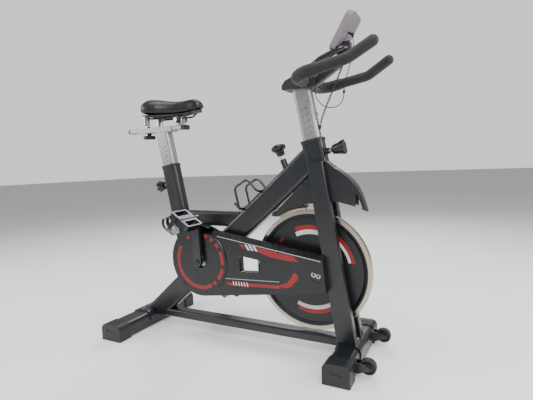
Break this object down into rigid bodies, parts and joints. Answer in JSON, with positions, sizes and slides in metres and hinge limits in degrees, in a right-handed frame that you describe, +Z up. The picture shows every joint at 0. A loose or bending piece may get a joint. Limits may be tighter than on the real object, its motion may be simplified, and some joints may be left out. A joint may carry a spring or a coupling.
{
  "type": "exercise bike",
  "caption": "Indoor spin bike with a front flywheel, belt drive under a side cover, sliding saddle, drop handlebar with console, and a screw-down friction brake.",
  "frame": {"origin": "on the floor, at the centre of the bike's overall length and width", "axes": "+X forwards (towards the handlebar end), +Y to the rider's left, +Z up"},
  "size_m": [1.104, 0.4734, 1.1639],
  "materials": {
    "powder_coat": "satin black powder coat over steel",
    "cap_plastic": "moulded black plastic, fine texture",
    "cover_plastic": "moulded black plastic with printed trim",
    "post_steel": "silver-grey steel with engraved marks",
    "bright_steel": "zinc-plated and chromed steel",
    "wheel_iron": "black enamelled iron with a turned bright rim",
    "pulley_metal": "turned aluminium",
    "belt_rubber": "ribbed black belt",
    "crank_paint": "black painted forged steel",
    "pedal_metal": "cast silver pedal body",
    "strap_plastic": "black nylon clip and strap",
    "foam": "black closed-cell foam",
    "saddle_vinyl": "black vinyl over foam",
    "rail_paint": "black painted steel rails",
    "knob_plastic": "black moulded knobs, the brake knob capped red",
    "caster_plastic": "black plastic wheels",
    "shoe_metal": "black painted holder",
    "felt": "pressed wool felt",
    "console_plastic": "grey ABS housing and screen",
    "button_rubber": "rubber keys",
    "cord_rubber": "black flexible cord and plugs"
  },
  "bodies": {
    "frame": {"stabilizers": "powder_coat", "end_caps": "cap_plastic", "stabilizer_brackets": "powder_coat", "bottom_rail": "powder_coat", "main_beam": "powder_coat", "seat_tube": "powder_coat", "cross_beam": "powder_coat", "head_tube": "powder_coat", "fork": "powder_coat", "axle_housings": "powder_coat", "frame_bearings": "bright_steel", "post_collars": "cap_plastic", "pin_bosses": "powder_coat", "cover_outer": "cover_plastic", "cover_inner": "cover_plastic", "side_panels": "powder_coat", "fender": "powder_coat", "bottle_cage": "powder_coat", "wheel_brackets": "powder_coat", "frame_bolts": "bright_steel", "drive_belt": "belt_rubber"},
    "flywheel_set": {"flywheel": "wheel_iron", "flywheel_axle": "bright_steel"},
    "crank_set": {"crank_spindles": "bright_steel", "crank_pulley": "pulley_metal", "crank_arms": "crank_paint"},
    "pedal_right_set": {"pedal_right": "pedal_metal", "toe_clip_right": "strap_plastic"},
    "pedal_left_set": {"pedal_left": "pedal_metal", "toe_clip_left": "strap_plastic"},
    "transport_wheel_right": {"transport_wheel_right": "caster_plastic"},
    "transport_wheel_left": {"transport_wheel_left": "caster_plastic"},
    "seat_post_set": {"seat_post": "post_steel"},
    "slider_set": {"slider_tube": "powder_coat", "slider_caps": "cap_plastic", "saddle_clamp": "bright_steel"},
    "saddle_set": {"saddle_rails": "rail_paint", "saddle_base": "cap_plastic", "saddle_pad": "saddle_vinyl", "saddle_springs": "bright_steel"},
    "slider_knob_set": {"slider_knob": "knob_plastic"},
    "seat_pin_set": {"seat_pin": "bright_steel"},
    "seat_knob_set": {"seat_knob": "knob_plastic"},
    "head_pin_set": {"head_pin": "bright_steel"},
    "head_knob_set": {"head_knob": "knob_plastic"},
    "handlebar_set": {"handlebar_post": "post_steel", "handlebar_clamp": "cap_plastic", "handlebar_tube": "powder_coat", "grips": "foam", "centre_bar": "powder_coat", "console_case": "console_plastic", "curly_cord": "cord_rubber", "sensor_wire": "cord_rubber", "cord_plugs": "cord_rubber"},
    "button_left_key": {"button_left": "button_rubber"},
    "button_right_key": {"button_right": "button_rubber"},
    "brake_rod_set": {"brake_rod": "bright_steel"},
    "brake_knob_set": {"brake_knob": "knob_plastic"},
    "brake_shoe_set": {"brake_shoe": "shoe_metal", "brake_felt": "felt"}
  },
  "joints": [
    {"name": "flywheel_spin", "type": "hinge", "parent": "frame", "child": "flywheel_set", "pos_m": [0.2825, 0, 0.3034], "axis": [0, 1, 0], "continuous": true},
    {"name": "crank_spin", "type": "hinge", "parent": "frame", "child": "crank_set", "pos_m": [-0.1475, 0, 0.3208], "axis": [0, 1, 0], "continuous": true},
    {"name": "pedal_right_spin", "type": "hinge", "parent": "crank_set", "child": "pedal_right_set", "pos_m": [-0.1475, -0.161, 0.4908], "axis": [0, 1, 0], "continuous": true},
    {"name": "pedal_left_spin", "type": "hinge", "parent": "crank_set", "child": "pedal_left_set", "pos_m": [-0.1475, 0.161, 0.1508], "axis": [0, 1, 0], "continuous": true},
    {"name": "transport_wheel_right_spin", "type": "hinge", "parent": "frame", "child": "transport_wheel_right", "pos_m": [0.508, -0.1245, 0.0465], "axis": [0, 1, 0], "continuous": true},
    {"name": "transport_wheel_left_spin", "type": "hinge", "parent": "frame", "child": "transport_wheel_left", "pos_m": [0.508, 0.1245, 0.0465], "axis": [0, 1, 0], "continuous": true},
    {"name": "seat_height", "type": "slide", "parent": "frame", "child": "seat_post_set", "axis": [-0.1891, 0, 0.982], "range_m": [-0.06, 0.1]},
    {"name": "saddle_fore_aft", "type": "slide", "parent": "seat_post_set", "child": "slider_set", "axis": [1, 0, 0], "range_m": [-0.02, 0.035]},
    {"name": "saddle_tilt", "type": "hinge", "parent": "slider_set", "child": "saddle_set", "pos_m": [-0.278, 0, 0.8815], "axis": [0, 1, 0], "range_deg": [-6, 6]},
    {"name": "slider_knob_turn", "type": "hinge", "parent": "seat_post_set", "child": "slider_knob_set", "pos_m": [-0.45, 0, 0.824], "axis": [0, 0, 1], "range_deg": [0, 720]},
    {"name": "seat_pin_pull", "type": "slide", "parent": "frame", "child": "seat_pin_set", "axis": [-0.982, 0, -0.1891], "range_m": [0, 0.009], "stiffness_N_per_m": 900},
    {"name": "seat_knob_turn", "type": "hinge", "parent": "seat_pin_set", "child": "seat_knob_set", "pos_m": [-0.35963, 0, 0.61664], "axis": [-0.982, 0, -0.1891], "range_deg": [0, 720]},
    {"name": "head_pin_pull", "type": "slide", "parent": "frame", "child": "head_pin_set", "axis": [0.982, 0, 0.1891], "range_m": [0, 0.009], "stiffness_N_per_m": 900},
    {"name": "head_knob_turn", "type": "hinge", "parent": "head_pin_set", "child": "head_knob_set", "pos_m": [0.34476, 0, 0.72294], "axis": [0.982, 0, 0.1891], "range_deg": [0, 720]},
    {"name": "handlebar_height", "type": "slide", "parent": "frame", "child": "handlebar_set", "axis": [-0.1891, 0, 0.982], "range_m": [-0.02, 0.1]},
    {"name": "button_left_press", "type": "slide", "parent": "handlebar_set", "child": "button_left_key", "axis": [0.8517, 0, -0.524], "range_m": [0, 0.0012], "stiffness_N_per_m": 400},
    {"name": "button_right_press", "type": "slide", "parent": "handlebar_set", "child": "button_right_key", "axis": [0.8517, 0, -0.524], "range_m": [0, 0.0012], "stiffness_N_per_m": 400},
    {"name": "brake_push", "type": "slide", "parent": "frame", "child": "brake_rod_set", "axis": [0.3584, 0, -0.9336], "range_m": [0, 0.0019], "stiffness_N_per_m": 1500},
    {"name": "brake_knob_turn", "type": "hinge", "parent": "brake_rod_set", "child": "brake_knob_set", "pos_m": [0.178, 0, 0.709], "axis": [-0.3584, 0, 0.9336], "range_deg": [0, 1080]},
    {"name": "brake_shoe_swing", "type": "hinge", "parent": "frame", "child": "brake_shoe_set", "pos_m": [0.15, 0, 0.506], "axis": [0, 1, 0], "range_deg": [0, 1.2]}
  ],
  "couplings": [
    {"joint": "crank_spin", "follows": "flywheel_spin", "ratio": 0.31579},
    {"joint": "brake_shoe_swing", "follows": "brake_push", "rad_per_m": 10.12}
  ]
}
